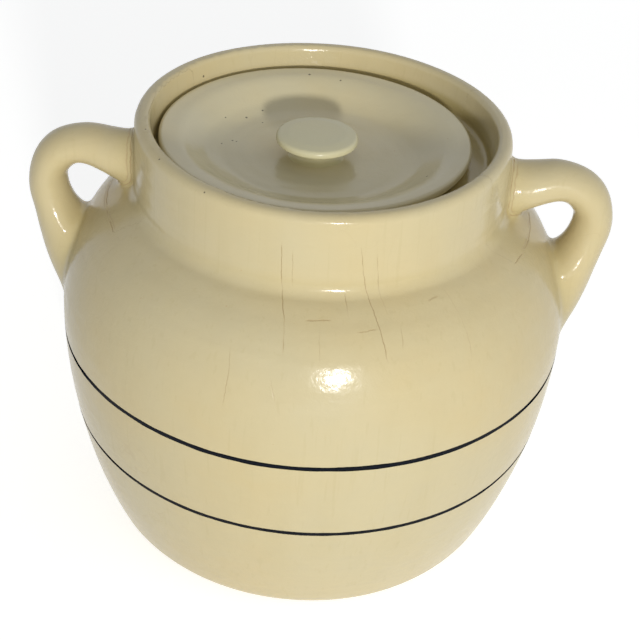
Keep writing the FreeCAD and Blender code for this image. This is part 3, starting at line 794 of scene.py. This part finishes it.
def iron_specks(n, color, share, spots):
    """Dark dots: a share of small random ones, and those that stand out. Gives the colour and the dots."""
    cells = n.add("TexVoronoi", {"Vector": n.place, "Scale": 62.0, "Randomness": 1.0}, feature="F1")
    pick = n.add("SeparateColor", {0: cells.outputs["Color"]}).outputs
    size = n.times(pick[1], 0.045)
    dot = n.ramp(n.minus(cells.outputs["Distance"], size), 0.0, 0.018, 1.0, 0.0)
    dot = n.times(dot, n.math("GREATER_THAN", pick[0], 1.0 - 0.10 * share))
    color = n.mix(n.times(dot, 0.85), color, SPECK)
    for spot, radius in spots:
        middle = tuple(c * MM for c in spot)
        away = n.add("VectorMath", {0: n.place, 1: middle}, operation="DISTANCE").outputs["Value"]
        spot_dot = n.ramp(away, radius * 0.45 * MM, radius * MM, 0.8, 0.0)
        dot = n.larger(dot, spot_dot)
        color = n.mix(spot_dot, color, SPECK)
    return color, dot


def clay_dots(n, color, share):
    """Faint dots where the clay shows through the glaze."""
    cells = n.add("TexVoronoi", {"Vector": n.place, "Scale": 210.0}, feature="F1")
    pick = n.add("SeparateColor", {0: cells.outputs["Color"]}).outputs
    dot = n.ramp(cells.outputs["Distance"], 0.05, 0.11, 1.0, 0.0)
    dot = n.times(dot, n.math("GREATER_THAN", pick[0], 1.0 - 0.05 * share))
    return n.mix(n.times(dot, 0.45), color, BODY_CLAY)


def glaze_colour(n, painted_sky_tint, streaked):
    """Cloudy cream with faint runs and streaks of thicker glaze. Gives it and the colour of thicker glaze,
    which also serves as painted shade in the pot's hollows.
    """
    # scaled to lighter, bluer copies of the colours where asked: painted sky light
    cream, warm, cool, thick_glaze_and_shade = (rgb(*(c * t for c, t in zip(color, painted_sky_tint)))
                                for color in (CREAM, CREAM_WARM, CREAM_COOL, POOLED_AND_SHADE))
    color = n.mix(n.ramp(n.noise(11.0, 3.0, 0.55), 0.36, 0.66), warm, cool)
    fine = n.ramp(n.noise(70.0, 4.0, 0.6), 0.30, 0.72)
    color = n.mix(n.times(fine, 0.55), color, cream)
    runs = n.ramp(n.noise(1.0, 3.0, 0.55, n.scaled(60, 60, 7)), 0.42, 0.78)
    color = n.mix(n.times(runs, 0.10), color, thick_glaze_and_shade)
    streaks = n.ramp(n.noise(1.0, 2.0, 0.5, n.scaled(430, 430, 14)), 0.58, 0.74)
    return n.mix(n.times(streaks, streaked), color, thick_glaze_and_shade), thick_glaze_and_shade


def glaze_bump(n, crack, dot, marks):
    """The glaze's own surface: orange peel, and marks of the fingers that smoothed the clay."""
    peel = n.noise(330.0, 2.0, 0.55)
    grain = n.noise(1100.0, 2.0, 0.5)
    dents = n.noise(1.0, 2.0, 0.5, n.scaled(75, 75, 150))
    height = n.plus(n.times(peel, 0.30), n.times(dents, 1.2 * marks))
    height = n.plus(height, n.times(grain, 0.10))
    height = n.minus(height, n.times(crack, 0.30))
    height = n.minus(height, n.times(dot, 0.3))
    bump = n.add("Bump", {"Height": height, "Strength": 1.0, "Distance": 0.0003})
    n.link(bump.outputs[0], "Normal")


def glaze(name, specks, crackle, marks, spots=(), painted_sky_tint=(1.0, 1.0, 1.0), hairlines=(), is_pot=False):
    """Glossy cream glaze with specks and a soft uneven skin, made lighter and bluer for the lid and knob as
    painted sky light.

    On the pot it is also darker in hollows, from glaze gathered at the neck's foot and round the handles'
    roots and from painted shade in the gallery and round the roots, cracked along the handles' seams and bare
    at the foot.
    """
    n = Look(name)
    color, thick_glaze_and_shade = glaze_colour(n, painted_sky_tint, 0.16 * crackle)
    crack = crazing(n, 0.16 * crackle)
    if hairlines:
        crack = hairline_cracks(n, crack, hairlines)
    if is_pot:
        # darker where glaze gathers at the neck's foot, and painted shade in the gallery and round the
        # handles' roots
        color = n.mix(n.math("MULTIPLY", n.attribute("pool_and_shade"), 0.70, clamp=True), color, thick_glaze_and_shade)
        crack = seam_lines(n, crack)
    color = n.mix(crack, color, CRACK)
    color, dot = iron_specks(n, color, specks, spots)
    color = clay_dots(n, color, specks)
    rough = n.ramp(n.noise(26.0, 3.0), 0.3, 0.7, 0.15, 0.22)
    rough = n.plus(rough, n.times(crack, 0.5))
    if is_pot:
        edge = n.plus(n.xyz()[2], n.times(n.noise(120.0), 0.0012))
        bare = n.ramp(edge, 0.0014, 0.0024, 1.0, 0.0)
        grit = n.mix(n.ramp(n.noise(500.0, 4.0), 0.35, 0.65), BODY_CLAY, PALE_GRIT)
        color = n.mix(bare, color, grit)
        rough = n.larger(rough, n.times(bare, 0.75))
    n.link(color, "Base Color")
    n.link(rough, "Roughness")
    n.gloss(1.46, 0.30, (0.50, 0.95), (0.36, 0.08))
    glaze_bump(n, crack, dot, marks)
    return n.material


def slip_band(name):
    """The painted bands: near-black blue slip, bluer along its middle and worn at its edges."""
    n = Look(name)
    across = n.math("ABSOLUTE", n.attribute("across"))
    middle = n.ramp(across, 0.0, 0.55, 1.0, 0.0)
    patch = n.ramp(n.noise(95.0, 4.0, 0.6), 0.35, 0.72)
    blue = n.times(middle, n.math("MULTIPLY_ADD", patch, 0.5, 0.35))
    thin = n.ramp(n.noise(160.0, 3.0, 0.6), 0.60, 0.82)
    worn = n.times(n.times(thin, n.ramp(across, 0.55, 1.0)), 0.45)
    n.link(n.mix(worn, n.mix(blue, SLIP_BLACK, SLIP_BLUE), SLIP_WORN), "Base Color")
    n.link(n.ramp(n.noise(40.0), 0.3, 0.7, 0.16, 0.24), "Roughness")
    n.gloss(1.28, 0.12, (0.25, 0.75), (0.20, 0.0))
    return n.material


pot_glaze = glaze("cream_glaze", specks=0.35, crackle=0.8, marks=0.55, spots=POT_SPOTS,
                  hairlines=HAIRLINES, is_pot=True)
# lid and knob glaze are lighter, bluer copies of the cream: painted sky light on their upward faces
lid_glaze = glaze("lid_glaze", specks=0.8, crackle=0.0, marks=0.30, spots=LID_SPOTS, painted_sky_tint=(1.12, 1.17, 1.29))
knob_glaze = glaze("knob_glaze", specks=0.3, crackle=0.0, marks=0.20, painted_sky_tint=(1.09, 1.18, 1.26))
band_slip = slip_band("band_slip")

# ---------------------------------------------------------------- the pot and its bands

GRID = 1.5
SKIN_ROOM = ((-140.0, -124.0, -3.0), (140.0, 124.0, 220.0))
NECK_JOINT = (87.5, 180.5)      # radius and height where glaze gathers, at the neck's foot
ROOT_POOL_AND_SHADE = 14.0               # how far from a handle's root glaze gathers and painted shade reaches
GALLERY_RADII = (60.0, 79.8)    # painted shade darkens the gallery, between these radii
GALLERY_HEIGHTS = (197.0, 206.8)
SEAM_FAR = 9.0                  # the seam attribute's value, in mm, where there is no seam
SEAM_FOOT = 168.0               # no seam shows below this height
BAND_STEPS = 900
BAND_DEPTH = 0.3
# Across a band: share of its half width, and how far it stands proud of the clay.
BAND_SECTION = [
    (-1.0, -0.02), (-0.8, 0.045), (-0.4, 0.06), (0.0, 0.05), (0.4, 0.06), (0.8, 0.045), (1.0, -0.02),
]


def pooled_glaze_and_shade(points, across, shell, handle, near):
    """How much darker the glaze is made: glaze gathered at the neck's foot and round the handles' roots, and
    painted shade round the roots and in the gallery, darkest low in the gallery.
    """
    height = points[:, 2]
    joint = np.clip(1 - np.abs(across - NECK_JOINT[0]) / 5, 0, 1)
    joint *= np.clip(1 - np.abs(height - NECK_JOINT[1]) / 4, 0, 1)
    # round the handles' roots: glaze gathering and painted shade together
    root = np.zeros(len(points))
    root[near] = np.clip(1 - np.abs(shell[near] - handle) / ROOT_POOL_AND_SHADE, 0, 1) ** 1.5
    # painted shade in the gallery, darker towards its bottom
    low, high = GALLERY_HEIGHTS
    gallery = 1.4 * np.clip((high - height) / 2.5, 0, 1)
    gallery *= (across > GALLERY_RADII[0]) & (across < GALLERY_RADII[1]) & (height > low)
    return np.clip(joint * 0.4 + root * 0.8, 0, 1) + gallery


def make_pot():
    points, quads = surface_of(pot_field, *SKIN_ROOM, GRID)
    points = settle(pot_field, points)
    normals = unit(gradient(pot_field, points))
    points = np.clip(points, *(np.array(corner) / MM for corner in CAD_BOX))
    skin = add_object("pot_skin", points, quads, pot_glaze, normals)
    across = np.hypot(points[:, 0], points[:, 1])
    shell = outside(across, points[:, 2])
    near = near_handles(points)
    handle = to_handle(points[near])
    shown = np.clip((points[near, 2] - SEAM_FOOT) / 6, 0, 1)
    seam = np.full(len(points), SEAM_FAR)
    seam[near] = np.clip(shell[near] - handle, -SEAM_FAR, SEAM_FAR) * shown + SEAM_FAR * (1 - shown)
    add_attribute(skin, "seam", seam)
    # the mask of gathered glaze and painted shade
    add_attribute(skin, "pool_and_shade", pooled_glaze_and_shade(points, across, shell, handle, near))
    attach(skin, "pot")
    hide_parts("pot_body", "left_handle", "right_handle")


def make_band(name, height, radius, width, seed):
    """A painted ring: a thin lens of slip on the pot's skin, with slightly wavy edges."""
    shares, lifts = zip(*BAND_SECTION)
    turn = np.linspace(0, 2 * math.pi, BAND_STEPS, endpoint=False)
    ring = np.column_stack([np.cos(turn) * 40, np.sin(turn) * 40, np.zeros(BAND_STEPS)])
    middle = height + 0.16 * waves(ring, seed, 60) + 0.05 * waves(ring, seed + 1, 9)
    half = width / 2 * (1 + 0.05 * waves(ring, seed + 2, 14) + 0.04 * waves(ring, seed + 3, 3))
    points = np.vstack([np.column_stack([np.cos(turn) * radius, np.sin(turn) * radius, middle + half * share])
                        for share in shares])
    for _ in range(4):      # straight in or out until the points lie on the skin
        direction = unit(points * (1, 1, 0))
        slope = (gradient(pot_field, points) * direction).sum(1)
        points = points - direction * (pot_field(points) / np.maximum(slope, 0.3))[:, None]
    normal = unit(gradient(pot_field, points))
    top = points + normal * np.repeat(lifts, BAND_STEPS)[:, None]
    first, last = slice(0, BAND_STEPS), slice(-BAND_STEPS, None)
    back = [top[edge] - normal[edge] * BAND_DEPTH for edge in (last, first)]
    normals = np.vstack([normal, -normal[:2 * BAND_STEPS]])
    quads = ring_quads(len(shares) + 2, BAND_STEPS, closed=True)
    band = add_object(name, np.vstack([top, *back]), quads, band_slip, normals)
    add_attribute(band, "across", np.repeat([*shares, 1.0, -1.0], BAND_STEPS))
    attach(band, "pot")


make_pot()
make_band("upper_band", 110.0, 120.5, 2.5, 41)
make_band("lower_band", 68.8, 116.6, 2.3, 57)

# ---------------------------------------------------------------- lid and knob

LID_AXIS = (-3.7, 1.0)          # the lid lies a little off the pot's middle
KNOB_AXIS = (-2.9, 0.2)         # and the knob a little off the lid's
LID_BASE = 190.5
LID_RADIUS = 72.0
DISH_FLOOR = 5.5
KNOB_BASE = LID_BASE + DISH_FLOOR

# Sections from the axis under the piece round to the axis above it: radius, height and rounding.
LID_SECTION = [
    (0, 0, 0), (43.3, 0, 22), (59.5, 8.7, 1.0), (68.2, 8.7, 2.0), (71.5, 12.9, 1.2), (71.5, 16.4, 1.7),
    (62, 15.1, 18), (46, DISH_FLOOR, 22), (0, DISH_FLOOR, 0),
]
# The knob's stem runs out into the dish in a short curve, given point by point, under its disc.
KNOB_STEM = [
    (13.4, -0.25), (12.6, -0.02), (11.9, 0.25), (11.2, 0.75), (10.7, 1.3), (10.3, 1.9), (10.15, 2.6),
    (10.25, 3.6), (10.7, 4.6), (11.6, 5.5),
]
KNOB_DISC = [
    (11.6, 5.5, 0), (12.6, 6.0, 2.0), (18.8, 7.2, 1.1), (18.8, 10.3, 1.9), (13.0, 11.05, 20.0), (0, 11.3, 0),
]
KNOB_SINK = [(0, -1.5), (12.0, -1.5)]       # the part of the stem that is hidden in the lid


def uneven_lid(points):
    """Slight unevenness of a thrown lid, always into its own clay."""
    x, y = points[:, 0] - LID_AXIS[0], points[:, 1] - LID_AXIS[1]
    radius, turn = np.hypot(x, y), np.arctan2(y, x)
    upper = points[:, 2] > LID_BASE + 5.0
    dip = 0.10 * (1 + np.clip(waves(points, 23, 45), -1, 1))
    dip += 0.05 * (1 + np.sin(radius * 2 * math.pi / 7.5 + turn))
    moved = points.copy()
    moved[:, 2] -= np.where(upper, dip * np.clip((LID_RADIUS - radius) / 4, 0, 1), 0)
    return moved


def make_lid():
    profile = divided(rounded(LID_SECTION), 1.5)
    lid = lathe("lid_skin", profile, LID_AXIS, LID_BASE, lid_glaze, uneven=uneven_lid)
    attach(lid, "lid")
    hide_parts("lid")


def make_knob():
    profile = divided(KNOB_SINK + KNOB_STEM + rounded(KNOB_DISC)[1:], 0.8)
    knob = lathe("knob_skin", profile, KNOB_AXIS, KNOB_BASE, knob_glaze, steps=160)
    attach(knob, "lid")
    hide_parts("lid_knob")


make_lid()
make_knob()

# ---------------------------------------------------------------- floor, light and camera

FLOOR_REACH = 4000.0
FLOOR_WHITE = rgb(0.92, 0.92, 0.91)
SKY_COLOUR = rgb(0.97, 0.985, 1.0)
SKY_LEVEL = 0.20
# A soft room: besides its even light, how much more or less comes from each direction.
SKY_LOBES = [
    ((0.0, -1.0, 0.0), 0.47),
    ((0.0, 1.0, 0.0), 0.46),
    ((1.0, 0.0, 0.0), 0.21),
    ((-1.0, 0.0, 0.0), -0.12),
    ((0.0, 0.0, 1.0), -0.08),
]
LAMP_AIM = Vector((0.0, 0.0, 0.12))
LAMP_FAR = 2.2
IMAGE_WIDTH = 640
FOCAL_PIXELS = 1392.845
SENSOR = 36.0


def make_floor():
    n = Look("floor_white")
    n.set("Base Color", FLOOR_WHITE)
    n.set("Roughness", 0.9)
    n.set("Specular IOR Level", 0.0)
    n.set("Emission Color", WHITE)
    # far from the pot the lamp's light falls off, so the floor's own white makes it up
    away = n.add("VectorMath", {0: n.place}, operation="LENGTH").outputs["Value"]
    level = n.ramp(away, 0.5, 1.8, 0.60, 0.72)
    n.link(n.times(n.sees_background(), level), "Emission Strength")
    points = [(x * FLOOR_REACH, y * FLOOR_REACH, 0) for x, y in ((-1, -1), (1, -1), (1, 1), (-1, 1))]
    floor = add_object("floor", points, np.array([[0, 1, 2, 3]]), n.material)
    floor.location.z = -0.0002      # just under the pot's foot


def make_world():
    world = bpy.data.worlds.new("studio")
    bpy.context.scene.world = world
    n = Tree(world)
    toward = n.add("TexCoord").outputs["Generated"]
    level = SKY_LEVEL
    for direction, strength in SKY_LOBES:
        facing = n.add("VectorMath", {0: toward, 1: direction}, operation="DOT_PRODUCT").outputs["Value"]
        level = n.math("MULTIPLY_ADD", n.larger(facing, 0.0), strength, level)
    sky = n.add("Background", {"Color": SKY_COLOUR, "Strength": level})
    white = n.add("Background", {"Color": WHITE, "Strength": 1.0})
    mix = n.add("MixShader", {0: n.sees_background(), 1: sky.outputs[0], 2: white.outputs[0]})
    n.add("OutputWorld", {"Surface": mix.outputs[0]})


def make_lamp(name, direction, size, level, color):
    """A soft disc of light in the given direction from the pot, under which a white face shows the level."""
    direction = Vector(direction).normalized()
    lamp = bpy.data.lights.new(name, "AREA")
    lamp.shape = "DISK"
    lamp.size = size
    lamp.color = color
    # straight ahead a flat lamp gives power / (pi * distance squared), and a white face shows 1/pi of that
    lamp.energy = level * math.pi * LAMP_FAR ** 2 * math.pi
    thing = bpy.data.objects.new(name, lamp)
    thing.location = LAMP_AIM + direction * LAMP_FAR
    thing.rotation_mode = "QUATERNION"
    thing.rotation_quaternion = direction.to_track_quat("Z", "Y")
    bpy.context.scene.collection.objects.link(thing)


def make_camera():
    """The camera that was fitted to the photograph's rim, lid, bands and outline."""
    place = Vector((14.97, -571.68, 495.76)) * MM
    forward = Vector((-0.01555685, 0.82489643, -0.56506979))
    right = Vector((0.99664562, 0.05820495, 0.05752986))
    up = Vector((-0.08034603, 0.56227935, 0.8230349))
    camera = bpy.data.cameras.new("camera")
    camera.sensor_width = SENSOR
    camera.lens = FOCAL_PIXELS / IMAGE_WIDTH * SENSOR
    camera.clip_start = 0.01
    camera.clip_end = 50
    thing = bpy.data.objects.new("camera", camera)
    thing.matrix_world = Matrix((
        (right.x, up.x, -forward.x, place.x),
        (right.y, up.y, -forward.y, place.y),
        (right.z, up.z, -forward.z, place.z),
        (0, 0, 0, 1)))
    bpy.context.scene.collection.objects.link(thing)
    bpy.context.scene.camera = thing


make_floor()
make_world()
make_lamp("key", (0.208, -0.947, 0.210), 0.19, 0.57, (1.0, 0.985, 0.96))
make_camera()

bpy.context.scene.view_settings.view_transform = "Standard"
